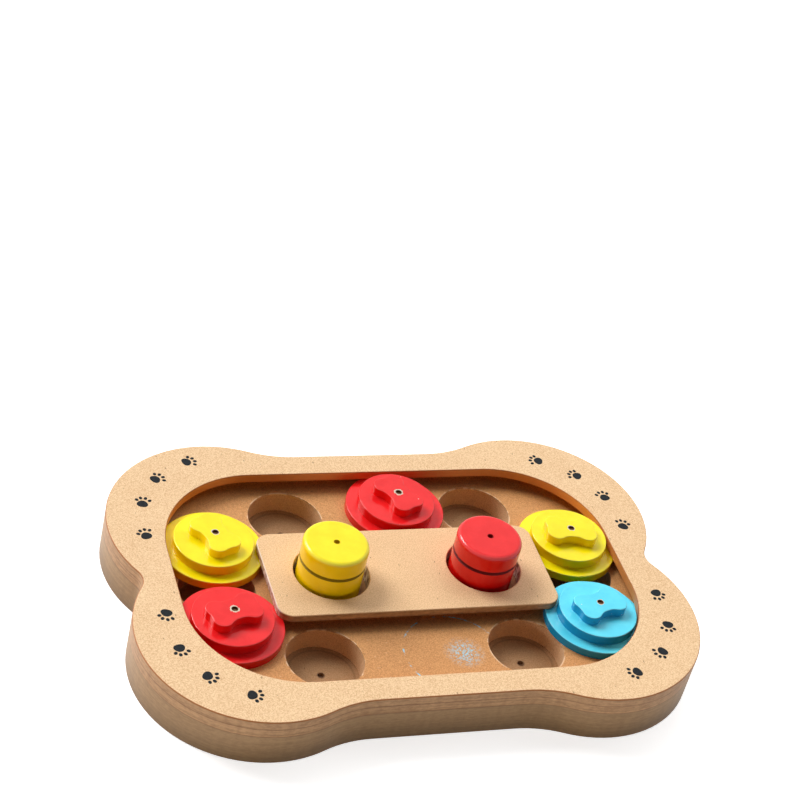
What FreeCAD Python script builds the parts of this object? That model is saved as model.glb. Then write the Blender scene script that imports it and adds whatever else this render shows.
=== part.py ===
import FreeCAD, Part
import math
import os
import Sketcher

# Bone-shaped sliding puzzle feeder board for a dog, in millimetres.
# The origin is the middle of the underside, +X runs along the board and +Z is up.

SIZES = {
    # Bone outline of the board
    "board_length": 300,
    "board_depth": 202,
    "board_lobe_pitch": 78,
    "board_dip": 10.5,
    "board_side_blend": 63,
    "board_end_blend": 10.5,
    # Sheets that the board is glued up from
    "base_thick": 18,
    "spacer_thick": 5,
    "lip_thick": 5,
    "bar_thick": 4,
    "edge_round": 0.6,
    # Opening in the lip, set by the rims left round it
    "end_rim": 28,
    "side_rim": 14.5,
    "opening_corner": 55,
    # Sliding discs, and the room that the track gives them
    "flange_dia": 54,
    "flange_thick": 4.5,
    "disc_dia": 41.8,
    "disc_thick": 5.5,
    "paint_round": 0.5,
    "track_play": 3.7,
    "rim_gap": 0.9,
    "island_gap": 0.4,
    # Bar glued over the island in the middle
    "bar_corner": 8,
    "island_corner": 4,
    "bar_place": 2,
    # Bone-shaped grip on each disc
    "knob_length": 27.7,
    "knob_depth": 18.2,
    "knob_lobe_pitch": 7.6,
    "knob_dip": 2.4,
    "knob_side_blend": 8,
    "knob_end_blend": 12,
    "knob_thick": 5,
    # Dowel that lines up the three layers of a disc
    "pin_hole": 3.4,
    "pin_gap": 0.05,
    "pin_sink": 1.2,
    # Treat cups bored in the base
    "cup_dia": 40,
    "cup_depth": 12,
    "cup_inset": 1.5,
    "cup_stagger": 12,
    "far_cups_place": 3,
    "near_cups_place": -1,
    "point_dia": 3.5,
    "point_depth": 1.5,
    # Lift-out pegs
    "peg_inset": 34.5,
    "peg_land": 10.5,
    "peg_play": 2.7,
    "peg_height": 42,
    "peg_lean": 1.2,
    "peg_round": 2.4,
    "peg_foot": 1,
    "groove_drop": 11,
    "groove_width": 1.8,
    "groove_depth": 1.1,
    "dimple_dia": 3,
    "dimple_depth": 4,
    # Disc resting on the far straight of the track, and the turn of its grip
    "red_far_place": 10.6,
    "red_far_angle": -66.3,
    # Discs resting in the rounded corners: flange's gap to the middle line, disc's gap
    # to the lip, and turn of the grip
    "yellow_left_past": -0.2,
    "yellow_left_gap": 3.9,
    "yellow_left_angle": -66.6,
    "red_left_past": 2.2,
    "red_left_gap": 1.4,
    "red_left_angle": 17.3,
    "blue_right_past": 10.1,
    "blue_right_gap": 0.8,
    "blue_right_angle": 18.1,
    "yellow_right_past": -7,
    "yellow_right_gap": 0.8,
    "yellow_right_angle": -8.1,
}

# Which rounded corner of the track each disc rests in, as signs of X and Y
CORNERS = {
    "yellow_left": (-1, 1),
    "red_left": (-1, -1),
    "blue_right": (1, -1),
    "yellow_right": (1, 1),
}

DERIVED = {
    "board_lobe": "(board_depth - board_lobe_pitch) / 2",
    "knob_lobe": "(knob_depth - knob_lobe_pitch) / 2",
    "board_waist": "board_depth - 2 * board_dip",
    "knob_waist": "knob_depth - 2 * knob_dip",
    "lip_level": "base_thick + spacer_thick",
    "opening_length": "board_length - 2 * end_rim",
    "opening_depth": "board_waist - 2 * side_rim",
    "corner_x": "opening_length / 2 - opening_corner",
    "corner_y": "opening_depth / 2 - opening_corner",
    "flange_lap": "(flange_dia - disc_dia) / 2",
    "rim_lap": "flange_lap + rim_gap",
    "spacer_length": "opening_length + 2 * rim_lap",
    "spacer_depth": "opening_depth + 2 * rim_lap",
    "spacer_corner": "opening_corner + rim_lap",
    "track_width": "disc_dia + track_play",
    "track_end": "(opening_length - track_width) / 2",
    "track_side": "(opening_depth - track_width) / 2",
    "bar_length": "opening_length - 2 * track_width",
    "bar_depth": "opening_depth - 2 * track_width",
    "peg_hole": "bar_depth - 2 * peg_land",
    "peg_dia": "peg_hole - 2 * peg_play",
    "peg_pitch": "bar_length - 2 * peg_inset",
    "cup_pitch": "peg_pitch + 2 * cup_stagger",
    "island_length": "bar_length - 2 * (flange_lap + island_gap)",
    "island_depth": "bar_depth - 2 * (flange_lap + island_gap)",
    "cup_floor": "base_thick - cup_depth",
    "cup_row": "track_side - cup_inset",
    "disc_level": "base_thick + flange_thick",
    "knob_level": "disc_level + disc_thick",
    "pin_length": "flange_thick + disc_thick + knob_thick - pin_sink",
    "red_far_x": "red_far_place",
    "red_far_y": "track_side",
}
for disc_name, (side_x, side_y) in CORNERS.items():
    orbit = "(opening_corner - disc_dia / 2 - %s_gap)" % disc_name
    from_middle = "(flange_dia / 2 + %s_past)" % disc_name
    along = "sqrt(%s^2 - (%s - corner_y)^2)" % (orbit, from_middle)
    DERIVED[disc_name + "_x"] = "%d * (corner_x + %s)" % (side_x, along)
    DERIVED[disc_name + "_y"] = "%d * %s" % (side_y, from_middle)

# In a sketch, edge -1 is the X axis, which starts at the origin, and edge -2 the Y axis
START, END, CENTRE = range(1, 4)
UP = FreeCAD.Vector(0, 0, 1)

doc = FreeCAD.newDocument("puzzle_board")
sheet = doc.addObject("Spreadsheet::Sheet", "Sizes")
cells = [(alias, str(number)) for alias, number in SIZES.items()]
cells += [(alias, "=" + formula) for alias, formula in DERIVED.items()]
for row, (alias, content) in enumerate(cells, start=1):
    sheet.set("A%d" % row, alias)
    sheet.set("B%d" % row, content)
    sheet.setAlias("B%d" % row, alias)
doc.recompute()

subparts = []


def size(alias):
    return float(sheet.get(alias))


def new_body(label):
    body = doc.addObject("PartDesign::Body", label)
    body.Label = label
    subparts.append(body)
    return body


def seat(body, x, y, z, turn="0"):
    """Bind a body's place and its turn about Z to formulas of the sheet's cells."""
    body.Placement = FreeCAD.Placement(FreeCAD.Vector(), FreeCAD.Rotation(UP, 1))
    body.setExpression(".Placement.Base.x", x)
    body.setExpression(".Placement.Base.y", y)
    body.setExpression(".Placement.Base.z", z)
    body.setExpression(".Placement.Rotation.Yaw", turn)


def new_sketch(body, name, role="XY_Plane"):
    sketch = body.newObject("Sketcher::SketchObject", body.Label + "_" + name)
    plane = next(part for part in body.Origin.OriginFeatures if part.Role == role)
    sketch.AttachmentSupport = [(plane, "")]
    sketch.MapMode = "FlatFace"
    return sketch


def dimension(sketch, name, formula, kind, *where):
    """Add a driving dimension whose number is a formula of the sheet's cells."""
    index = sketch.addConstraint(Sketcher.Constraint(kind, *where))
    sketch.renameConstraint(index, name)
    sketch.setExpression("Constraints." + name, formula)


def relate(sketch, kind, *where):
    sketch.addConstraint(Sketcher.Constraint(kind, *where))


def add_arc(sketch, x, y, radius, start, end):
    circle = Part.Circle(FreeCAD.Vector(x, y, 0), UP, radius)
    return sketch.addGeometry(Part.ArcOfCircle(circle, start, end))


def add_line(sketch, x1, y1, x2, y2):
    ends = FreeCAD.Vector(x1, y1, 0), FreeCAD.Vector(x2, y2, 0)
    return sketch.addGeometry(Part.LineSegment(*ends))


def join_smoothly(sketch, chain):
    """Make a closed chain of (edge, end it is entered at, end it is left at) tangent."""
    for (edge, _, leave), (following, enter, _) in zip(chain, chain[1:] + chain[:1]):
        relate(sketch, "Tangent", edge, leave, following, enter)


def bone_outline(sketch, kind):
    """Four round lobes joined by hollow blends, two straight sides and two end notches."""
    lobe = size(kind + "_lobe")
    lobe_x = size(kind + "_length") / 2 - lobe
    lobe_y = size(kind + "_depth") / 2 - lobe
    side = size(kind + "_waist") / 2
    side_blend = size(kind + "_side_blend")
    end_blend = size(kind + "_end_blend")
    blend_y = side + side_blend
    blend_x = lobe_x - math.sqrt((lobe + side_blend) ** 2 - (blend_y - lobe_y) ** 2)
    notch_x = lobe_x + math.sqrt((lobe + end_blend) ** 2 - lobe_y ** 2)
    to_side = math.atan2(blend_y - lobe_y, blend_x - lobe_x)
    to_end = math.atan2(-lobe_y, notch_x - lobe_x)
    half, quarter = math.pi, math.pi / 2

    lobes = [
        add_arc(sketch, lobe_x, lobe_y, lobe, to_end, to_side),
        add_arc(sketch, -lobe_x, lobe_y, lobe, half - to_side, half - to_end),
        add_arc(sketch, -lobe_x, -lobe_y, lobe, half + to_end, half + to_side),
        add_arc(sketch, lobe_x, -lobe_y, lobe, -to_side, -to_end),
    ]
    back = to_side - half
    blends = [
        add_arc(sketch, blend_x, blend_y, side_blend, -quarter, back),
        add_arc(sketch, -blend_x, blend_y, side_blend, -half - back, -quarter),
        add_arc(sketch, -blend_x, -blend_y, side_blend, quarter, half + back),
        add_arc(sketch, blend_x, -blend_y, side_blend, -back, quarter),
    ]
    notches = [
        add_arc(sketch, -notch_x, 0, end_blend, to_end, -to_end),
        add_arc(sketch, notch_x, 0, end_blend, half + to_end, half - to_end),
    ]
    far = add_line(sketch, blend_x, side, -blend_x, side)
    near = add_line(sketch, -blend_x, -side, blend_x, -side)
    join_smoothly(sketch, [
        (lobes[0], START, END), (blends[0], END, START), (far, START, END),
        (blends[1], END, START), (lobes[1], START, END), (notches[0], END, START),
        (lobes[2], START, END), (blends[2], END, START), (near, START, END),
        (blends[3], END, START), (lobes[3], START, END), (notches[1], END, START),
    ])

    for line in (far, near):
        relate(sketch, "Horizontal", line)
    for group in (lobes, blends, notches):
        for other in group[1:]:
            relate(sketch, "Equal", group[0], other)
    relate(sketch, "Symmetric", lobes[0], CENTRE, lobes[1], CENTRE, -2)
    relate(sketch, "Symmetric", lobes[0], CENTRE, lobes[3], CENTRE, -1)
    relate(sketch, "Symmetric", lobes[0], CENTRE, lobes[2], CENTRE, -1, START)
    cells_of = {word: "Sizes.%s_%s" % (kind, word)
                for word in ("length", "depth", "lobe", "waist", "side_blend", "end_blend")}
    dimension(sketch, "lobe_radius", cells_of["lobe"], "Radius", lobes[0], lobe)
    dimension(sketch, "side_radius", cells_of["side_blend"], "Radius", blends[0], side_blend)
    dimension(sketch, "end_radius", cells_of["end_blend"], "Radius", notches[0], end_blend)
    across = "(%s - 2 * %s)"
    dimension(sketch, "lobes_along", across % (cells_of["length"], cells_of["lobe"]),
              "DistanceX", lobes[1], CENTRE, lobes[0], CENTRE, 2 * lobe_x)
    dimension(sketch, "lobes_across", across % (cells_of["depth"], cells_of["lobe"]),
              "DistanceY", lobes[3], CENTRE, lobes[0], CENTRE, 2 * lobe_y)
    dimension(sketch, "far_side", cells_of["waist"] + " / 2",
              "DistanceY", -1, START, far, START, side)
    dimension(sketch, "near_side", cells_of["waist"] + " / 2",
              "DistanceY", near, START, -1, START, side)


def rounded_rectangle(sketch, kind):
    """A rectangle round the origin, with its corners rounded."""
    corner = size(kind + "_corner")
    across_x = size(kind + "_length") / 2 - corner
    across_y = size(kind + "_depth") / 2 - corner
    quarter = math.pi / 2
    places = ((across_x, across_y), (-across_x, across_y),
              (-across_x, -across_y), (across_x, -across_y))
    chain = []
    arcs = []
    for turn, (x, y) in enumerate(places):
        arc = add_arc(sketch, x, y, corner, turn * quarter, (turn + 1) * quarter)
        out = FreeCAD.Vector(0, corner, 0) if turn % 2 == 0 else FreeCAD.Vector(corner, 0, 0)
        sign = 1 if turn in (0, 3) else -1
        next_x, next_y = places[(turn + 1) % 4]
        line = add_line(sketch, x + sign * out.x, y + sign * out.y,
                        next_x + sign * out.x, next_y + sign * out.y)
        relate(sketch, "Vertical" if turn % 2 else "Horizontal", line)
        arcs.append(arc)
        chain += [(arc, START, END), (line, START, END)]
    join_smoothly(sketch, chain)
    for arc in arcs[1:]:
        relate(sketch, "Equal", arcs[0], arc)
    relate(sketch, "Symmetric", arcs[0], CENTRE, arcs[2], CENTRE, -1, START)
    dimension(sketch, "corner", "Sizes.%s_corner" % kind, "Radius", arcs[0], corner)
    straight = "(Sizes.%s_%s - 2 * Sizes.%s_corner)"
    dimension(sketch, "straight_x", straight % (kind, "length", kind),
              "DistanceX", arcs[1], CENTRE, arcs[0], CENTRE, 2 * across_x)
    dimension(sketch, "straight_y", straight % (kind, "depth", kind),
              "DistanceY", arcs[3], CENTRE, arcs[0], CENTRE, 2 * across_y)


def add_circle(sketch, name, x, y, diameter):
    """A circle at a formula's place, a blank formula putting it on that axis."""
    number_x, formula_x = x
    number_y, formula_y = y
    number_dia, formula_dia = diameter
    centre = FreeCAD.Vector(number_x, number_y, 0)
    circle = sketch.addGeometry(Part.Circle(centre, UP, number_dia / 2))
    dimension(sketch, name + "_dia", formula_dia, "Diameter", circle, number_dia)
    if formula_x:
        dimension(sketch, name + "_x", formula_x,
                  "DistanceX", -1, START, circle, CENTRE, number_x)
    else:
        relate(sketch, "PointOnObject", circle, CENTRE, -2)
    if formula_y:
        dimension(sketch, name + "_y", formula_y,
                  "DistanceY", -1, START, circle, CENTRE, number_y)
    else:
        relate(sketch, "PointOnObject", circle, CENTRE, -1)


def centre_circle(sketch, alias):
    add_circle(sketch, "round", (0, ""), (0, ""), (size(alias), "Sizes." + alias))


def cup_circles(sketch, alias, peg_alias):
    """Circles at the six cups in the track and the two under the pegs."""
    diameter = (size(alias), "Sizes." + alias)
    row = size("cup_row")
    for side in (-1, 1):
        for line, place in ((1, "far_cups_place"), (-1, "near_cups_place")):
            x = size(place) + side * size("cup_pitch") / 2
            formula = "Sizes.%s + %d * Sizes.cup_pitch / 2" % (place, side)
            name = "%s_%s" % ("left" if side < 0 else "right", place.split("_")[0])
            add_circle(sketch, name, (x, formula),
                       (line * row, "%d * Sizes.cup_row" % line), diameter)
        end = "left_end" if side < 0 else "right_end"
        add_circle(sketch, end, (side * size("track_end"), "%d * Sizes.track_end" % side),
                   (0, ""), diameter)
    peg_circles(sketch, (size(peg_alias), "Sizes." + peg_alias))


def peg_circles(sketch, diameter, place="bar_place"):
    """Circles at the two pegs, counted from the middle of the bar or of the board."""
    middle = size(place) if place else 0
    middle_formula = "Sizes.%s + " % place if place else ""
    for side in (-1, 1):
        x = middle + side * size("peg_pitch") / 2
        formula = middle_formula + "%d * Sizes.peg_pitch / 2" % side
        name = "left_peg" if side < 0 else "right_peg"
        add_circle(sketch, name, (x, formula), (0, ""), diameter)


def pad(body, sketch, alias):
    feature = body.newObject("PartDesign::Pad", sketch.Name + "_pad")
    feature.Profile = sketch
    feature.setExpression("Length", "Sizes." + alias)
    sketch.Visibility = False
    doc.recompute()
    return feature


def pocket(body, sketch, formula):
    """Cut up from the plane of the sketch, and check that wood was taken away."""
    before = body.Shape.Volume
    feature = body.newObject("PartDesign::Pocket", sketch.Name + "_pocket")
    feature.Profile = sketch
    feature.Reversed = True
    feature.setExpression("Length", formula)
    sketch.Visibility = False
    doc.recompute()
    if not body.Shape.Volume < before:
        raise RuntimeError(feature.Name + " cuts nothing")
    return feature


def edges_at(feature, height):
    """Names of the edges that lie flat at a height."""
    names = []
    for number, edge in enumerate(feature.Shape.Edges, start=1):
        box = edge.BoundBox
        if max(abs(box.ZMin - height), abs(box.ZMax - height)) < 0.001:
            names.append("Edge%d" % number)
    return names


def dress(body, kind, feature, height, alias):
    """Round over or bevel every edge at a height."""
    finish = body.newObject("PartDesign::" + kind, "%s_%s_%d" % (body.Label, kind, height))
    finish.Base = (feature, edges_at(feature, height))
    finish.setExpression("Size" if kind == "Chamfer" else "Radius", "Sizes." + alias)
    doc.recompute()
    return finish


def base_board():
    """Thick board with a flat underside and eight flat-bottomed cups in its top."""
    body = new_body("base_board")
    outline = new_sketch(body, "outline")
    bone_outline(outline, "board")
    blank = pad(body, outline, "base_thick")
    dress(body, "Fillet", blank, 0, "edge_round")
    cups = new_sketch(body, "cups")
    cup_circles(cups, "cup_dia", "peg_hole")
    cups.setExpression(".AttachmentOffset.Base.z", "Sizes.cup_floor")
    pocket(body, cups, "Sizes.cup_depth")
    points = new_sketch(body, "cutter_points")
    cup_circles(points, "point_dia", "point_dia")
    points.setExpression(".AttachmentOffset.Base.z", "Sizes.cup_floor - Sizes.point_depth")
    pocket(body, points, "Sizes.point_depth")
    seat(body, "0", "0", "0")


def spacer_ring():
    """Ring whose wider opening leaves the groove that keeps the flanges in."""
    body = new_body("spacer_ring")
    outline = new_sketch(body, "outline")
    bone_outline(outline, "board")
    pad(body, outline, "spacer_thick")
    opening = new_sketch(body, "opening")
    rounded_rectangle(opening, "spacer")
    pocket(body, opening, "Sizes.spacer_thick")
    seat(body, "0", "0", "Sizes.base_thick")


def lip_frame():
    """Top sheet with the rounded opening, its upper edges eased."""
    body = new_body("lip_frame")
    outline = new_sketch(body, "outline")
    bone_outline(outline, "board")
    pad(body, outline, "lip_thick")
    opening = new_sketch(body, "opening")
    rounded_rectangle(opening, "opening")
    cut = pocket(body, opening, "Sizes.lip_thick")
    dress(body, "Fillet", cut, size("lip_thick"), "edge_round")
    seat(body, "0", "0", "Sizes.lip_level")


def middle_plate(label, kind, thickness, level):
    """Rounded plate in the middle of the board, with both peg holes through it."""
    body = new_body(label)
    outline = new_sketch(body, "outline")
    rounded_rectangle(outline, kind)
    pad(body, outline, thickness)
    holes = new_sketch(body, "peg_holes")
    peg_circles(holes, (size("peg_hole"), "Sizes.peg_hole"), place="")
    cut = pocket(body, holes, "Sizes." + thickness)
    if kind == "bar":
        dress(body, "Fillet", cut, size(thickness), "edge_round")
    seat(body, "Sizes.bar_place", "0", level)


def disc_layer(label, disc, level, thickness, outline):
    """One layer of a disc: its outline, an eased top edge and the hole for the dowel."""
    body = new_body(label)
    profile = new_sketch(body, "outline")
    outline(profile)
    blank = pad(body, profile, thickness)
    dress(body, "Fillet", blank, size(thickness), "paint_round")
    hole = new_sketch(body, "pin_hole")
    centre_circle(hole, "pin_hole")
    pocket(body, hole, "Sizes." + thickness)
    seat(body, "Sizes.%s_x" % disc, "Sizes.%s_y" % disc, "Sizes." + level,
         "Sizes.%s_angle" % disc)


def disc_pin(label, disc):
    """Plain dowel through the three layers, its top end sunk below the grip."""
    body = new_body(label)
    section = new_sketch(body, "section")
    add_circle(section, "round", (0, ""), (0, ""),
               (size("pin_hole") - 2 * size("pin_gap"), "Sizes.pin_hole - 2 * Sizes.pin_gap"))
    pad(body, section, "pin_length")
    seat(body, "Sizes.%s_x" % disc, "Sizes.%s_y" % disc, "Sizes.base_thick")


def sliding_disc(disc):
    """Wide flange, smaller disc and bone-shaped grip, glued on one dowel."""
    disc_layer(disc + "_flange", disc, "base_thick", "flange_thick",
               lambda sketch: centre_circle(sketch, "flange_dia"))
    disc_layer(disc + "_disc", disc, "disc_level", "disc_thick",
               lambda sketch: centre_circle(sketch, "disc_dia"))
    disc_layer(disc + "_knob", disc, "knob_level", "knob_thick",
               lambda sketch: bone_outline(sketch, "knob"))
    disc_pin(disc + "_pin", disc)


def peg(label, side):
    """Turned peg with a rounded head, a shallow groove and the lathe's centre mark."""
    body = new_body(label)
    section = new_sketch(body, "section")
    centre_circle(section, "peg_dia")
    blank = pad(body, section, "peg_height")
    head = dress(body, "Fillet", blank, size("peg_height"), "peg_round")
    dress(body, "Chamfer", head, 0, "peg_foot")
    cut_groove(body)
    mark = new_sketch(body, "centre_mark")
    centre_circle(mark, "dimple_dia")
    mark.setExpression(".AttachmentOffset.Base.z", "Sizes.peg_height - Sizes.dimple_depth")
    pocket(body, mark, "Sizes.dimple_depth")
    middle = "Sizes.bar_place + %d * Sizes.peg_pitch / 2 - Sizes.peg_lean" % side
    seat(body, middle, "0", "Sizes.cup_floor")


def cut_groove(body):
    """Turn the V groove round the peg."""
    sketch = new_sketch(body, "groove_section", "XZ_Plane")
    radius = size("peg_dia") / 2
    depth = size("groove_depth")
    middle = size("peg_height") - size("groove_drop")
    reach = size("groove_width") / 2
    corners = ((radius, middle + reach), (radius - depth, middle), (radius, middle - reach))
    lines = []
    for (x1, z1), (x2, z2) in zip(corners, corners[1:] + corners[:1]):
        lines.append(add_line(sketch, x1, z1, x2, z2))
    for line, following in zip(lines, lines[1:] + lines[:1]):
        relate(sketch, "Coincident", line, END, following, START)
    relate(sketch, "Vertical", lines[2])
    relate(sketch, "Equal", lines[0], lines[1])
    dimension(sketch, "radius", "Sizes.peg_dia / 2",
              "DistanceX", -1, START, lines[0], START, radius)
    dimension(sketch, "depth", "Sizes.groove_depth",
              "DistanceX", lines[1], START, lines[0], START, depth)
    dimension(sketch, "height", "Sizes.peg_height - Sizes.groove_drop",
              "DistanceY", -1, START, lines[1], START, middle)
    dimension(sketch, "width", "Sizes.groove_width",
              "DistanceY", lines[1], END, lines[0], START, 2 * reach)
    doc.recompute()
    before = body.Shape.Volume
    groove = body.newObject("PartDesign::Groove", body.Label + "_groove")
    groove.Profile = sketch
    groove.ReferenceAxis = (sketch, ["V_Axis"])
    groove.Angle = 360
    sketch.Visibility = False
    doc.recompute()
    if not body.Shape.Volume < before:
        raise RuntimeError("the groove cuts nothing")


def check_and_export():
    doc.recompute()
    for thing in doc.Objects:
        if "Invalid" in thing.State or "Error" in thing.State:
            raise RuntimeError("%s failed: %s" % (thing.Name, thing.State))
    for body in subparts:
        if body.Shape.isNull() or not body.Shape.isValid():
            raise RuntimeError(body.Label + " has no valid shape")
    os.makedirs("parts", exist_ok=True)
    for body in subparts:
        body.Shape.exportStep("parts/%s.step" % body.Label)


base_board()
spacer_ring()
lip_frame()
middle_plate("island", "island", "spacer_thick", "Sizes.base_thick")
middle_plate("bar", "bar", "bar_thick", "Sizes.lip_level")
for disc_name in ["red_far"] + list(CORNERS):
    sliding_disc(disc_name)
peg("yellow_peg", -1)
peg("red_peg", 1)
check_and_export()
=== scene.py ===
import math

import bmesh
import bpy
from mathutils import Matrix, Vector


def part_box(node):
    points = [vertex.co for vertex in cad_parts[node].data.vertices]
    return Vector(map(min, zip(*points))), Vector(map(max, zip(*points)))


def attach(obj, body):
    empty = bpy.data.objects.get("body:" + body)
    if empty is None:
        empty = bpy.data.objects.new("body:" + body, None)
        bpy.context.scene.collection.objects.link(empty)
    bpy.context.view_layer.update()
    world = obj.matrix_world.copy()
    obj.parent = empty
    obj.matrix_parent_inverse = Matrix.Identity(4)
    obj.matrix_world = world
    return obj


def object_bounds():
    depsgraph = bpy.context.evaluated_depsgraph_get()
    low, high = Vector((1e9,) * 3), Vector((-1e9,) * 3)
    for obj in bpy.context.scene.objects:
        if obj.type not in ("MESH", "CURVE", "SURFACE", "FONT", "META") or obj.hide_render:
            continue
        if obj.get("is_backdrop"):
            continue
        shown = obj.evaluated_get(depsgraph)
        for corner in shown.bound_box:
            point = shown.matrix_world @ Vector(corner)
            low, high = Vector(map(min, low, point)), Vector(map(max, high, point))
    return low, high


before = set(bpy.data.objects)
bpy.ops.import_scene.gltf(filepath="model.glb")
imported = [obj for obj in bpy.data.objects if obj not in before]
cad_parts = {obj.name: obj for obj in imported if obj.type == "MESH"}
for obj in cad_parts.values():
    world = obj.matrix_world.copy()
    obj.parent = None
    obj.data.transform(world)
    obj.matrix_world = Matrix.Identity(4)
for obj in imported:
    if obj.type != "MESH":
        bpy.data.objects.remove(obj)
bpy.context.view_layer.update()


# Base board.
# A bone-shaped sheet of medium-density fibreboard, 18 mm thick, with eight cups bored from above.
# Its top is the floor that the discs slide on, rubbed blue where one of them has been turned.
BASE_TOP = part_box("base_board")[1].z
SPACER_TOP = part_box("spacer_ring")[1].z

# Middles of the four cups in the long straights, and the half length and depth that all cups lie within
CUP_PLACES = ((-0.055, -0.05175), (0.053, -0.05175), (-0.051, 0.05175), (0.057, 0.05175))
CUPS_WITHIN = (0.121, 0.0735)
CUP_RIM = 0.0202
CUTTER_RING = 0.0172

# The ring that a disc's edge has rubbed on the floor, and the blue dots inside it
RUB_MIDDLE = (0.0128, -0.0532)
RUB_RADIUS = 0.0262
DOTS_MIDDLE = (0.0186, -0.0532)
DOTS_RADIUS = 0.0125


def node(tree, kind, **values):
    made = tree.nodes.new(kind)
    for name, value in values.items():
        if name in made.inputs:
            made.inputs[name].default_value = value
        else:
            setattr(made, name, value)
    return made


def sum_up(tree, operation, first, second=0.5, third=None):
    made = node(tree, "ShaderNodeMath", operation=operation)
    for socket, value in zip(made.inputs, (first, second, third)):
        if isinstance(value, bpy.types.NodeSocket):
            tree.links.new(value, socket)
        elif value is not None:
            socket.default_value = value
    return made.outputs[0]


def product(tree, first, *others):
    """Masks and strengths multiplied together."""
    for other in others:
        first = sum_up(tree, "MULTIPLY", first, other)
    return first


def without(tree, mask):
    """The other side of a mask."""
    return sum_up(tree, "SUBTRACT", 1.0, mask)


def step(tree, value, low, high):
    made = node(tree, "ShaderNodeMapRange", interpolation_type="SMOOTHSTEP")
    tree.links.new(value, made.inputs["Value"])
    made.inputs["From Min"].default_value = low
    made.inputs["From Max"].default_value = high
    return made.outputs["Result"]


def between(tree, value, rise, fall):
    """A mask that comes in over the first pair of values and goes out over the second."""
    return product(tree, step(tree, value, *rise), without(tree, step(tree, value, *fall)))


def apart(tree, value, place):
    """How far a value is from a place, to either side."""
    return sum_up(tree, "ABSOLUTE", sum_up(tree, "SUBTRACT", value, place))


def line_at(tree, value, place, core, edge):
    """A narrow line where a value passes a place, full within core of it and gone past edge."""
    return without(tree, step(tree, apart(tree, value, place), core, edge))


def tint(tree, share, first, second, kind="MIX"):
    made = node(tree, "ShaderNodeMix", data_type="RGBA", blend_type=kind)
    for socket, value in zip((made.inputs[0], made.inputs[6], made.inputs[7]), (share, first, second)):
        if isinstance(value, bpy.types.NodeSocket):
            tree.links.new(value, socket)
        else:
            socket.default_value = value
    return made.outputs[2]


def noise(tree, where, scale, detail, roughness):
    made = node(tree, "ShaderNodeTexNoise", Scale=scale, Detail=detail, Roughness=roughness)
    tree.links.new(where, made.inputs["Vector"])
    return made.outputs["Fac"]


def moved(tree, where, place=(0, 0, 0), scale=(1, 1, 1), turn=(0, 0, 0)):
    made = node(tree, "ShaderNodeMapping")
    made.inputs["Location"].default_value = place
    made.inputs["Scale"].default_value = scale
    made.inputs["Rotation"].default_value = turn
    tree.links.new(where, made.inputs["Vector"])
    return made.outputs["Vector"]


def split(tree, where):
    made = node(tree, "ShaderNodeSeparateXYZ")
    tree.links.new(where, made.inputs["Vector"])
    return made.outputs


def from_axis(tree, where, middle):
    """How far a point is from the upright line through a middle."""
    x, y = split(tree, moved(tree, where, place=(-middle[0], -middle[1], 0)))[:2]
    return sum_up(tree, "SQRT", sum_up(tree, "MULTIPLY_ADD", x, x, sum_up(tree, "MULTIPLY", y, y)))


def within(tree, where, half_length, half_depth):
    """A mask of the box about the middle of the board, of any height."""
    x, y = split(tree, where)[:2]
    along = sum_up(tree, "LESS_THAN", sum_up(tree, "ABSOLUTE", x), half_length)
    across = sum_up(tree, "LESS_THAN", sum_up(tree, "ABSOLUTE", y), half_depth)
    return product(tree, along, across)


def flecks(tree, where, scale, channel, rarity, size, soft):
    """Scattered specks: a cell has one if its random channel is past rarity, as large as size allows."""
    cells = node(tree, "ShaderNodeTexVoronoi", Scale=scale, Randomness=1.0)
    tree.links.new(where, cells.inputs["Vector"])
    chosen = step(tree, split(tree, cells.outputs["Color"])[channel], rarity, 1.0)
    inside = sum_up(tree, "SUBTRACT", product(tree, chosen, size), cells.outputs["Distance"])
    return step(tree, inside, 0.0, soft)


def paint_value(red, green, blue):
    """A colour given from 0 to 255, as the plain light value that a shader takes."""
    light = []
    for part in (red, green, blue):
        share = part / 255
        light.append(share / 12.92 if part <= 10 else ((share + 0.055) / 1.055) ** 2.4)
    return (*light, 1.0)


def new_group(name, takes, gives):
    group = bpy.data.node_groups.new(name, "ShaderNodeTree")
    for socket, kind in takes:
        group.interface.new_socket(socket, in_out="INPUT", socket_type=kind)
    for socket, kind in gives:
        group.interface.new_socket(socket, in_out="OUTPUT", socket_type=kind)
    return group, group.nodes.new("NodeGroupInput").outputs, group.nodes.new("NodeGroupOutput").inputs


def use_group(tree, group, **values):
    made = node(tree, "ShaderNodeGroup", node_tree=group)
    for name, value in values.items():
        socket = made.inputs[name]
        if isinstance(value, bpy.types.NodeSocket):
            tree.links.new(value, socket)
        else:
            socket.default_value = value
    return made.outputs


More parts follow.
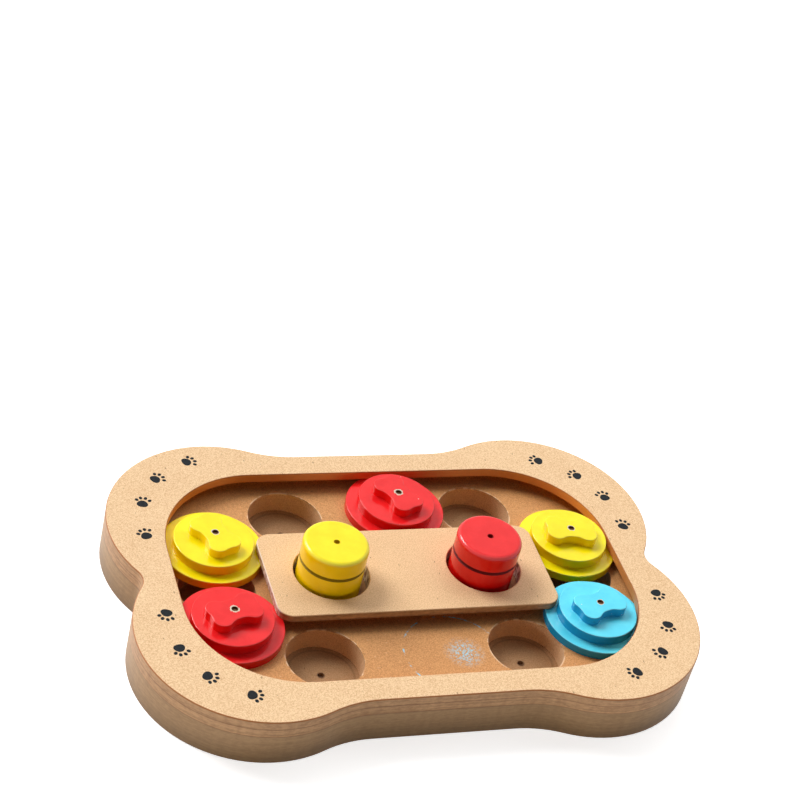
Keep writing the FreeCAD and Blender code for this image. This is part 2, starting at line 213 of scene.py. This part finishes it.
def pressed_fibre():
    """The flat face of fibreboard: pale pressed dust with soft clouds, fine grain, hairs and dark slivers."""
    group, given, out = new_group(
        "pressed fibre",
        [
            ("Vector", "NodeSocketVector"),
            ("Pale", "NodeSocketColor"),
            ("Brown", "NodeSocketColor"),
            ("Hair", "NodeSocketColor"),
            ("Sliver", "NodeSocketColor"),
        ],
        [("Colour", "NodeSocketColor"), ("Height", "NodeSocketFloat")],
    )
    where = given["Vector"]
    clouds = noise(group, where, scale=38.0, detail=4.0, roughness=0.55)
    clumps = noise(group, where, scale=520.0, detail=4.0, roughness=0.6)
    grain = noise(group, where, scale=1700.0, detail=2.0, roughness=0.6)
    coarse = sum_up(group, "MULTIPLY_ADD", clouds, 0.2, product(group, clumps, 0.12))
    mix = sum_up(group, "MULTIPLY_ADD", grain, 1.5, coarse)
    colour = tint(group, step(group, mix, 0.44, 1.3), given["Brown"], given["Pale"])
    combed = moved(group, where, scale=(0.35, 1.5, 1.0), turn=(0, 0, -0.5))
    hairs = flecks(group, combed, scale=900.0, channel=2, rarity=0.8, size=0.3, soft=0.1)
    colour = tint(group, product(group, hairs, 0.5), colour, given["Hair"])
    stretched = moved(group, where, scale=(1.0, 0.42, 1.0), turn=(0, 0, 0.7))
    slivers = flecks(group, stretched, scale=400.0, channel=0, rarity=0.7, size=0.17, soft=0.06)
    colour = tint(group, product(group, slivers, 0.6), colour, given["Sliver"])
    group.links.new(colour, out["Colour"])
    group.links.new(sum_up(group, "MULTIPLY_ADD", clumps, 0.5, grain), out["Height"])
    return group


def sawn_layers():
    """The machined edge of fibreboard: fine level streaks, faint upright cutter marks and the glue lines."""
    group, given, out = new_group(
        "sawn layers",
        [("Vector", "NodeSocketVector"), ("Pale", "NodeSocketColor"), ("Brown", "NodeSocketColor")],
        [("Colour", "NodeSocketColor"), ("Height", "NodeSocketFloat")],
    )
    where = given["Vector"]
    lying = moved(group, where, scale=(0.02, 0.02, 1.0))
    short = moved(group, where, scale=(0.35, 0.35, 1.0))
    standing = moved(group, where, scale=(1.0, 1.0, 0.04))
    level = noise(group, lying, scale=640.0, detail=4.0, roughness=0.7)
    fleck = noise(group, short, scale=950.0, detail=3.0, roughness=0.6)
    upright = noise(group, standing, scale=260.0, detail=3.0, roughness=0.6)
    fine = sum_up(group, "MULTIPLY_ADD", fleck, 0.7, product(group, upright, 0.3))
    mix = sum_up(group, "MULTIPLY_ADD", level, 0.7, fine)
    colour = tint(group, step(group, mix, 0.6, 1.1), given["Brown"], given["Pale"])
    height = split(group, where)[2]
    for glued in (BASE_TOP, SPACER_TOP):
        line = line_at(group, height, glued, 0.0001, 0.0005)
        colour = tint(group, product(group, line, 0.45), colour, given["Brown"], "MULTIPLY")
    group.links.new(colour, out["Colour"])
    group.links.new(sum_up(group, "ADD", level, fleck), out["Height"])
    return group


fibre_face = pressed_fibre()
fibre_edge = sawn_layers()


def fibreboard(name, face, face_brown, edge, edge_brown, arris):
    """A board's material, its parts still open so that a piece can add its own marks before it is closed."""
    made = bpy.data.materials.new(name)
    made.use_nodes = True
    tree = made.node_tree
    coat = tree.nodes["Principled BSDF"]
    coat.inputs["IOR"].default_value = 1.46
    read = node(tree, "ShaderNodeTexCoord").outputs
    where = read["Object"]
    facing = split(tree, read["Normal"])[2]
    flat = sum_up(tree, "ABSOLUTE", facing)
    top = use_group(
        tree,
        fibre_face,
        Vector=where,
        Pale=face,
        Brown=face_brown,
        Hair=paint_value(255, 234, 204),
        Sliver=paint_value(118, 78, 44),
    )
    side = use_group(tree, fibre_edge, Vector=where, Pale=edge, Brown=edge_brown)
    colour = tint(tree, step(tree, flat, 0.3, 0.9), side["Colour"], top["Colour"])
    burnt = between(tree, facing, (0.12, 0.45), (0.88, 0.99))
    colour = tint(tree, product(tree, burnt, 0.85), colour, arris)
    height = sum_up(tree, "ADD", product(tree, top["Height"], 0.5), product(tree, side["Height"], 0.35))
    smooth = sum_up(tree, "MULTIPLY_ADD", step(tree, flat, 0.2, 0.9), 0.2, 0.36)
    tree.links.new(smooth, coat.inputs["Roughness"])
    return made, tree, coat, where, flat, colour, height


def close_board(tree, coat, colour, height):
    """Puts a board's colour and its fine relief on the shader."""
    bump = node(tree, "ShaderNodeBump", Strength=0.12, Distance=0.0004)
    tree.links.new(height, bump.inputs["Height"])
    tree.links.new(bump.outputs["Normal"], coat.inputs["Normal"])
    tree.links.new(colour, coat.inputs["Base Color"])


def dress(name, material):
    """Gives a solid of the frame its finish."""
    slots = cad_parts[name].data.materials
    slots.clear()
    slots.append(material)


base_mdf, tree, coat, where, flat, colour, height = fibreboard(
    "base fibreboard",
    face=paint_value(218, 160, 100),
    face_brown=paint_value(172, 116, 66),
    edge=paint_value(188, 148, 104),
    edge_brown=paint_value(164, 126, 86),
    arris=paint_value(150, 98, 58),
)
z = split(tree, where)[2]
cup_distances = [from_axis(tree, where, place) for place in CUP_PLACES]

below_top = sum_up(tree, "LESS_THAN", z, BASE_TOP - 0.0004)
off_underside = sum_up(tree, "GREATER_THAN", z, 0.001)
in_cup = product(tree, within(tree, where, *CUPS_WITHIN), below_top, off_underside)
cup_face = use_group(
    tree,
    fibre_face,
    Vector=where,
    Pale=paint_value(232, 192, 150),
    Brown=paint_value(190, 148, 106),
    Hair=paint_value(240, 212, 178),
    Sliver=paint_value(110, 74, 44),
)
# Painted shade: the flat floors of the cups are darkened.
cup_floor_shade = product(tree, step(tree, flat, 0.3, 0.9), 0.9)
cup_colour = tint(tree, cup_floor_shade, cup_face["Colour"], paint_value(192, 178, 158), "MULTIPLY")
for distance in cup_distances:
    # Painted shade: a dark dot at each cup's middle stands for the hollow left by the bit's centre point.
    dimple_shade = without(tree, step(tree, distance, 0.0014, 0.0026))
    cup_colour = tint(tree, product(tree, dimple_shade, 0.8), cup_colour, paint_value(78, 44, 22))
    ring = line_at(tree, distance, CUTTER_RING, 0.0002, 0.0009)
    cup_colour = tint(tree, product(tree, ring, 0.3), cup_colour, paint_value(92, 62, 38))
colour = tint(tree, in_cup, colour, cup_colour)

# Painted highlight: a pale line round the top edge of each cup, broken up by noise.
rim_highlight_breaks = step(tree, noise(tree, where, scale=260.0, detail=3.0, roughness=0.6), 0.42, 0.6)
near_top = sum_up(tree, "GREATER_THAN", z, BASE_TOP - 0.0008)
for distance in cup_distances:
    rim_highlight = product(tree, line_at(tree, distance, CUP_RIM, 0.0002, 0.0006), near_top, rim_highlight_breaks, 0.7)
    colour = tint(tree, rim_highlight, colour, paint_value(240, 208, 170))

outer_side = product(tree, without(tree, step(tree, flat, 0.3, 0.9)), without(tree, in_cup))
# Painted shade: the outer sides of the base get darker towards the bottom.
painted_low_shade = product(tree, outer_side, without(tree, step(tree, z, -0.004, 0.016)), 0.55)
colour = tint(tree, painted_low_shade, colour, paint_value(96, 72, 46))

rub_line = line_at(tree, from_axis(tree, where, RUB_MIDDLE), RUB_RADIUS, 0.0002, 0.0006)
rub_broken = step(tree, noise(tree, where, scale=130.0, detail=4.0, roughness=0.75), 0.46, 0.6)
dots = step(tree, noise(tree, where, scale=820.0, detail=4.0, roughness=0.75), 0.47, 0.58)
dots_end = without(tree, step(tree, from_axis(tree, where, DOTS_MIDDLE), 0.001, DOTS_RADIUS))
rubbed = sum_up(tree, "MAXIMUM", product(tree, rub_line, rub_broken), product(tree, dots, dots_end))
on_floor = sum_up(tree, "GREATER_THAN", z, BASE_TOP - 0.0002)
colour = tint(tree, product(tree, rubbed, on_floor, 0.95), colour, paint_value(150, 214, 234))
close_board(tree, coat, colour, height)
dress("base_board", base_mdf)


# Rim of the board: a spacer ring under a wider lip.
# Both are thin fibreboard rings glued to the base, cut with it to one outline; the lip keeps the flanges in.
LIP_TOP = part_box("lip_frame")[1].z
LIP_INNER_WITHIN = (0.1235, 0.0775)

lip_mdf, tree, coat, where, flat, colour, height = fibreboard(
    "lip fibreboard",
    face=paint_value(250, 216, 172),
    face_brown=paint_value(206, 162, 114),
    edge=paint_value(212, 164, 116),
    edge_brown=paint_value(172, 126, 84),
    arris=paint_value(174, 98, 38),
)
z = split(tree, where)[2]
top_band = step(tree, z, LIP_TOP - 0.0013, LIP_TOP - 0.0004)
scorched = product(tree, top_band, without(tree, step(tree, flat, 0.5, 0.9)), 0.7)
colour = tint(tree, scorched, colour, paint_value(164, 98, 44))
upright_face = sum_up(tree, "LESS_THAN", flat, 0.3)
inner_face = product(tree, within(tree, where, *LIP_INNER_WITHIN), upright_face, 0.8)
colour = tint(tree, inner_face, colour, paint_value(214, 130, 62))
close_board(tree, coat, colour, height)
dress("lip_frame", lip_mdf)
dress("spacer_ring", lip_mdf)


# Middle of the board: an island under a wider bar.
# The bar is thin fibreboard too; its left end has been knocked, and pale core shows along the edge.
BAR_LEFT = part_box("bar")[0].x
KNOCKED_LENGTH = 0.0023
CHIPS_ABOVE = 0.0278
PEG_HOLES = ((-0.040, 0), (0.044, 0))
HOLE_WALLS_WITHIN = 0.021

bar_mdf, tree, coat, where, flat, colour, height = fibreboard(
    "bar fibreboard",
    face=paint_value(248, 210, 164),
    face_brown=paint_value(204, 160, 112),
    edge=paint_value(196, 150, 104),
    edge_brown=paint_value(142, 102, 66),
    arris=paint_value(206, 160, 112),
)
x = split(tree, where)[0]
z = split(tree, where)[2]
wall = without(tree, step(tree, flat, 0.2, 0.6))
slanted = moved(tree, where, scale=(1, 1, 0.3), turn=(0.35, 0.35, 0))
torn = step(tree, noise(tree, slanted, scale=640.0, detail=3.0, roughness=0.7), 0.38, 0.62)
torn_colour = tint(tree, torn, paint_value(118, 88, 64), paint_value(232, 216, 198))
for hole in PEG_HOLES:
    near_hole = sum_up(tree, "LESS_THAN", from_axis(tree, where, hole), HOLE_WALLS_WITHIN)
    colour = tint(tree, product(tree, wall, near_hole), colour, torn_colour)

end = without(tree, step(tree, x, BAR_LEFT, BAR_LEFT + KNOCKED_LENGTH))
knocked = product(tree, end, wall)
colour = tint(tree, product(tree, knocked, 0.6), colour, paint_value(150, 112, 96))
drawn_out = moved(tree, where, scale=(1, 1, 0.5))
splinter = step(tree, noise(tree, drawn_out, scale=760.0, detail=3.0, roughness=0.7), 0.42, 0.58)
colour = tint(tree, product(tree, knocked, splinter, 0.7), colour, paint_value(236, 220, 208))
ragged = noise(tree, where, scale=420.0, detail=4.0, roughness=0.7)
chip = sum_up(tree, "GREATER_THAN", sum_up(tree, "MULTIPLY_ADD", ragged, 0.003, z), CHIPS_ABOVE)
chip = product(tree, chip, sum_up(tree, "LESS_THAN", flat, 0.9), end, 0.9)
colour = tint(tree, chip, colour, paint_value(240, 228, 216))
close_board(tree, coat, colour, height)
dress("bar", bar_mdf)
dress("island", bar_mdf)


# Five sliding discs: a flange, a disc and a bone-shaped knob, glued in a stack and turned by a paw.
# They are small sheets of fibreboard in thick satin enamel, with the raw pin hole left open at the middle.
ENAMEL_ROUGHNESS = 0.15
PIN_HOLE_RADIUS = 0.00172


def orange_peel():
    """Enamel: slow ripples, and the few specks of dust that dried in it."""
    group, given, out = new_group(
        "orange peel",
        [("Vector", "NodeSocketVector")],
        [("Height", "NodeSocketFloat"), ("Dust", "NodeSocketFloat"), ("Cloud", "NodeSocketFloat")],
    )
    where = given["Vector"]
    ripple = noise(group, where, scale=420.0, detail=2.0, roughness=0.5)
    fibre = noise(group, where, scale=1300.0, detail=2.0, roughness=0.6)
    dust = flecks(group, where, scale=210.0, channel=1, rarity=0.7, size=0.085, soft=0.04)
    group.links.new(sum_up(group, "MULTIPLY_ADD", fibre, 0.3, ripple), out["Height"])
    group.links.new(dust, out["Dust"])
    group.links.new(noise(group, where, scale=90.0, detail=3.0, roughness=0.6), out["Cloud"])
    return group


enamel_skin = orange_peel()


def enamel(name, bright, deep, side, pale, middle, chipped):
    """Satin enamel; round the pin hole in the middle it has broken away in a pale ring of bare board."""
    made = bpy.data.materials.new(name)
    made.use_nodes = True
    tree = made.node_tree
    coat = tree.nodes["Principled BSDF"]
    coat.inputs["Roughness"].default_value = ENAMEL_ROUGHNESS
    coat.inputs["IOR"].default_value = 1.5
    coat.inputs["Specular IOR Level"].default_value = 0.4
    read = node(tree, "ShaderNodeTexCoord").outputs
    where = read["Object"]
    facing = split(tree, read["Normal"])[2]
    skin = use_group(tree, enamel_skin, Vector=where)
    colour = tint(tree, step(tree, skin["Cloud"], 0.3, 0.7), deep, bright)
    # Painted shade: the upright faces take the darker side colour instead of the top colour.
    colour = tint(tree, step(tree, facing, 0.2, 0.9), side, colour)
    # Painted highlight: a pale tint along the round edges, standing in for glints.
    painted_edge_highlight = between(tree, facing, (0.25, 0.6), (0.86, 0.99))
    colour = tint(tree, product(tree, painted_edge_highlight, 0.1), colour, pale)
    colour = tint(tree, product(tree, skin["Dust"], 0.7), colour, paint_value(255, 244, 232))
    if chipped:
        distance = from_axis(tree, where, middle)
        ragged = noise(tree, where, scale=520.0, detail=4.0, roughness=0.7)
        reach = sum_up(tree, "MULTIPLY_ADD", ragged, 0.0024 * chipped, 0.001)
        bare = sum_up(tree, "LESS_THAN", distance, reach)
        colour = tint(tree, bare, colour, paint_value(222, 204, 182))
        hole = sum_up(tree, "LESS_THAN", distance, PIN_HOLE_RADIUS)
        colour = tint(tree, hole, colour, paint_value(128, 88, 58))
    bump = node(tree, "ShaderNodeBump", Strength=0.1, Distance=0.0004)
    tree.links.new(skin["Height"], bump.inputs["Height"])
    tree.links.new(bump.outputs["Normal"], coat.inputs["Normal"])
    tree.links.new(colour, coat.inputs["Base Color"])
    return made


# Each enamel's bright and deep top colours, the colour of its sides, which is painted shade, and the colour
# of the painted highlight along its round edges
YELLOW = (
    paint_value(255, 240, 16),
    paint_value(254, 230, 4),
    paint_value(254, 216, 0),
    paint_value(255, 255, 150),
)
RED = (
    paint_value(246, 36, 38),
    paint_value(236, 26, 30),
    paint_value(222, 8, 4),
    paint_value(255, 150, 146),
)
BLUE = (
    paint_value(98, 228, 250),
    paint_value(88, 218, 244),
    paint_value(18, 146, 196),
    paint_value(196, 246, 255),
)

# Each disc's enamel, and how widely it has chipped round the pin hole
DISCS = {
    "red_far": (RED, 1.25),
    "yellow_left": (YELLOW, 1.0),
    "red_left": (RED, 1.25),
    "blue_right": (BLUE, 0.9),
    "yellow_right": (YELLOW, 0.9),
}

pin_wood = bpy.data.materials.new("pin wood")
pin_wood.use_nodes = True
tree = pin_wood.node_tree
coat = tree.nodes["Principled BSDF"]
coat.inputs["Roughness"].default_value = 0.8
where = node(tree, "ShaderNodeTexCoord").outputs["Object"]
end_grain = noise(tree, moved(tree, where, scale=(1, 1, 0.1)), scale=1600.0, detail=4.0, roughness=0.7)
colour = tint(tree, step(tree, end_grain, 0.35, 0.7), paint_value(84, 52, 30), paint_value(176, 128, 84))
tree.links.new(colour, coat.inputs["Base Color"])
bump = node(tree, "ShaderNodeBump", Strength=0.5, Distance=0.0003)
tree.links.new(end_grain, bump.inputs["Height"])
tree.links.new(bump.outputs["Normal"], coat.inputs["Normal"])

for disc, (colours, chipped) in DISCS.items():
    low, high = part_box(disc + "_pin")
    skin = enamel(disc + " enamel", *colours, (low + high) / 2, chipped)
    for part in ("flange", "disc", "knob"):
        dress(disc + "_" + part, skin)
    dress(disc + "_pin", pin_wood)


# Two pegs, turned from dowel and dipped in the same enamel.
# Each has a V groove round it for the teeth, and a small mark of the lathe's centre on top.
PEG_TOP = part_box("yellow_peg")[1].z
GROOVE_DROP = 0.0109
GROOVE_HALF = 0.00105
MARK_RADIUS = 0.00175
DUST_ROUGHNESS = 0.6


def turned_enamel(name, colours, mark_shade, shade, middle):
    """The peg's enamel, with painted shade in the groove and the lathe's mark, which are also rougher."""
    made = enamel(name, *colours, middle, 0)
    tree = made.node_tree
    coat = tree.nodes["Principled BSDF"]
    where = node(tree, "ShaderNodeTexCoord").outputs["Object"]
    z = split(tree, where)[2]
    at_middle = sum_up(tree, "LESS_THAN", from_axis(tree, where, middle), MARK_RADIUS)
    marked = product(tree, at_middle, sum_up(tree, "GREATER_THAN", z, PEG_TOP - 0.008))
    groove = sum_up(tree, "LESS_THAN", apart(tree, z, PEG_TOP - GROOVE_DROP), GROOVE_HALF)
    # Painted shade: the lathe's mark and the groove take darker colours.
    painted = tint(tree, marked, coat.inputs["Base Color"].links[0].from_socket, mark_shade)
    tree.links.new(tint(tree, groove, painted, shade), coat.inputs["Base Color"])
    groove_or_mark = sum_up(tree, "MAXIMUM", marked, groove)
    rough = sum_up(tree, "MULTIPLY_ADD", groove_or_mark, DUST_ROUGHNESS, ENAMEL_ROUGHNESS)
    tree.links.new(rough, coat.inputs["Roughness"])
    return made


# Each peg's enamel, whose side colour is painted shade, and the painted shade colours of its lathe's mark and
# of its groove
PEGS = {
    "yellow_peg": (
        (*YELLOW[:2], paint_value(246, 206, 0), YELLOW[3]),
        paint_value(214, 184, 16),
        paint_value(150, 122, 6),
    ),
    "red_peg": (RED, paint_value(160, 16, 14), paint_value(110, 8, 8)),
}
for peg, (colours, mark_shade, shade) in PEGS.items():
    low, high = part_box(peg)
    skin = turned_enamel(peg.replace("_", " ") + " enamel", colours, mark_shade, shade, (low + high) / 2)
    dress(peg, skin)


# Sixteen paw prints, walking round the four corners of the lip.
# They are stamped in black ink, a pad and four toes each, about 8 mm long.
INK_THICKNESS = 0.00005
PAD = (0.0025, 0.00295)
PAD_LOBES = 0.05
TOE = (0.0011, 0.0009)

# Each print's place in millimetres, the way it points, and which way its toes are counted
PRINTS = [
    (-98.9, 88.0, 21, 1),
    (-118.4, 74.6, 35, 1),
    (-128.7, 55.5, 76, 1),
    (-131.1, 31.1, 108, 1),
    (-131.4, -24.7, -109, -1),
    (-129.7, -48.9, -77, -1),
    (-119.8, -68.2, -37, -1),
    (-100.9, -82.2, -22, -1),
    (103.7, 81.8, 156, -1),
    (122.7, 68.1, 142, -1),
    (132.7, 49.2, 102, -1),
    (134.7, 25.2, 70, -1),
    (133.6, -27.4, -71, 1),
    (131.0, -51.1, -105, 1),
    (120.4, -69.8, -146, 1),
    (100.9, -82.9, -159, 1),
]

# Each toe's turn from the way the print points, in degrees, and its reach from the pad's middle
TOES = [(49, 4.2), (16, 4.6), (-16, 4.75), (-48, 4.75)]

ink = bpy.data.materials.new("stamp ink")
ink.use_nodes = True
tree = ink.node_tree
coat = tree.nodes["Principled BSDF"]
coat.inputs["Specular IOR Level"].default_value = 0.2
where = node(tree, "ShaderNodeTexCoord").outputs["Object"]
ink_film = noise(tree, where, scale=900.0, detail=3.0, roughness=0.6)
colour = tint(tree, step(tree, ink_film, 0.35, 0.7), paint_value(14, 18, 22), paint_value(32, 37, 41))
tree.links.new(colour, coat.inputs["Base Color"])
tree.links.new(sum_up(tree, "MULTIPLY_ADD", ink_film, 0.3, 0.55), coat.inputs["Roughness"])

prints = bmesh.new()


def stamp(middle, turn, size, lobes):
    """One inked shape, flat on the lip and as thick as the ink."""
    made = bmesh.ops.create_circle(prints, cap_ends=True, segments=24, radius=1.0)["verts"]
    for corner in made:
        around = math.atan2(corner.co.y, corner.co.x)
        corner.co *= 1 + lobes * math.cos(3 * around)
    bmesh.ops.scale(prints, vec=(*size, 1), verts=made)
    bmesh.ops.rotate(prints, matrix=Matrix.Rotation(math.radians(turn), 3, "Z"), verts=made)
    bmesh.ops.translate(prints, vec=(*middle, LIP_TOP), verts=made)
    raised = bmesh.ops.extrude_face_region(prints, geom=[made[0].link_faces[0]])["geom"]
    top = [piece for piece in raised if isinstance(piece, bmesh.types.BMVert)]
    bmesh.ops.translate(prints, vec=(0, 0, INK_THICKNESS), verts=top)


for x, y, turn, hand in PRINTS:
    stamp((x / 1000, y / 1000), turn, PAD, PAD_LOBES)
    for splay, reach in TOES:
        toward = turn + hand * splay
        toe = Matrix.Rotation(math.radians(toward), 2) @ Vector((reach, 0))
        stamp(((x + toe.x) / 1000, (y + toe.y) / 1000), toward, TOE, 0.0)
bmesh.ops.recalc_face_normals(prints, faces=prints.faces)
prints_mesh = bpy.data.meshes.new("paw_prints")
prints.to_mesh(prints_mesh)
prints.free()
prints_mesh.materials.append(ink)
paw_prints = bpy.data.objects.new("paw_prints", prints_mesh)
bpy.context.scene.collection.objects.link(paw_prints)
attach(paw_prints, "board")


# The studio: a white floor, which keeps the shadow, and soft light from the upper left behind the board.
# Only the key lamp is mirrored in the enamel; the other four only fill the shade.
floor_mesh = bmesh.new()
bmesh.ops.create_grid(floor_mesh, x_segments=1, y_segments=1, size=6.0)
floor_shape = bpy.data.meshes.new("floor")
floor_mesh.to_mesh(floor_shape)
floor_mesh.free()
floor = bpy.data.objects.new("floor", floor_shape)
bpy.context.scene.collection.objects.link(floor)
floor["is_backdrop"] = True
floor_white = bpy.data.materials.new("floor white")
floor_white.use_nodes = True
floor_shape.materials.append(floor_white)
tree = floor_white.node_tree
coat = tree.nodes["Principled BSDF"]
coat.inputs["Base Color"].default_value = (0.78, 0.78, 0.78, 1)
coat.inputs["Roughness"].default_value = 1.0
coat.inputs["Specular IOR Level"].default_value = 0.0
coat.inputs["Emission Color"].default_value = (1, 1, 1, 1)
ray = node(tree, "ShaderNodeLightPath").outputs
mirrored = sum_up(tree, "MAXIMUM", ray["Is Glossy Ray"], ray["Is Transmission Ray"])
seen = sum_up(tree, "MULTIPLY_ADD", ray["Is Camera Ray"], 0.75, product(tree, mirrored, 0.25))
tree.links.new(seen, coat.inputs["Emission Strength"])

world = bpy.data.worlds.new("studio")
bpy.context.scene.world = world
world.use_nodes = True
tree = world.node_tree
backdrop = tree.nodes["Background"]
backdrop.inputs["Color"].default_value = (1, 1, 1, 1)
ray = node(tree, "ShaderNodeLightPath").outputs
mirrored = sum_up(tree, "MAXIMUM", ray["Is Glossy Ray"], ray["Is Transmission Ray"])
seen = sum_up(tree, "MAXIMUM", ray["Is Camera Ray"], mirrored)
tree.links.new(sum_up(tree, "MULTIPLY_ADD", seen, 0.96, 0.04), backdrop.inputs["Strength"])


def lamp(name, toward, power, soft, glints):
    """A broad far lamp; toward is the way from the board to it, and without glints it only fills."""
    made = bpy.data.lights.new(name, "SUN")
    made.energy = power
    made.angle = math.radians(soft)
    hung = bpy.data.objects.new(name, made)
    hung.location = Vector(toward).normalized() * 2
    hung.rotation_euler = Vector(toward).to_track_quat("Z", "Y").to_euler()
    hung.visible_glossy = glints
    bpy.context.scene.collection.objects.link(hung)


lamp("key", (-0.73, 0.9, 1.0), 2.75, 30, True)
lamp("middle", (0.1, 1.0, 1.0), 0.95, 50, False)
lamp("far_right", (0.85, 0.6, 1.0), 1.0, 50, False)
lamp("left_fill", (-1.0, -0.1, 0.04), 1.15, 16, False)
lamp("front_fill", (0.25, -1.0, 0.04), 0.75, 16, False)


# The camera stands high in front of the board's near left side, tilted a little on its axis.
# It aims past the far edge, so that the board lies in the lower half of the picture.
CAMERA_AIM = Vector((0.051148, 0.177601, 0))
CAMERA_DISTANCE = 1.232552
CAMERA_AWAY = math.radians(-24.636)
CAMERA_ABOVE = math.radians(36.205)
CAMERA_LEAN = math.radians(-14.448)

camera_data = bpy.data.cameras.new("camera")
camera_data.sensor_width = 36.0
camera_data.lens = 93.81
camera_data.clip_start = 0.05
camera_data.clip_end = 20.0
camera = bpy.data.objects.new("camera", camera_data)
bpy.context.scene.collection.objects.link(camera)
ground = math.cos(CAMERA_ABOVE)
back = Vector((math.sin(CAMERA_AWAY) * ground, -math.cos(CAMERA_AWAY) * ground, math.sin(CAMERA_ABOVE)))
level = Vector((math.cos(CAMERA_AWAY), math.sin(CAMERA_AWAY), 0))
down = -back.cross(level)
right = math.cos(CAMERA_LEAN) * level + math.sin(CAMERA_LEAN) * down
under = -math.sin(CAMERA_LEAN) * level + math.cos(CAMERA_LEAN) * down
turned = Matrix((right, -under, back)).transposed().to_4x4()
camera.matrix_world = Matrix.Translation(CAMERA_AIM + back * CAMERA_DISTANCE) @ turned
bpy.context.scene.camera = camera
bpy.context.scene.view_settings.view_transform = "Standard"

low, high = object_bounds()
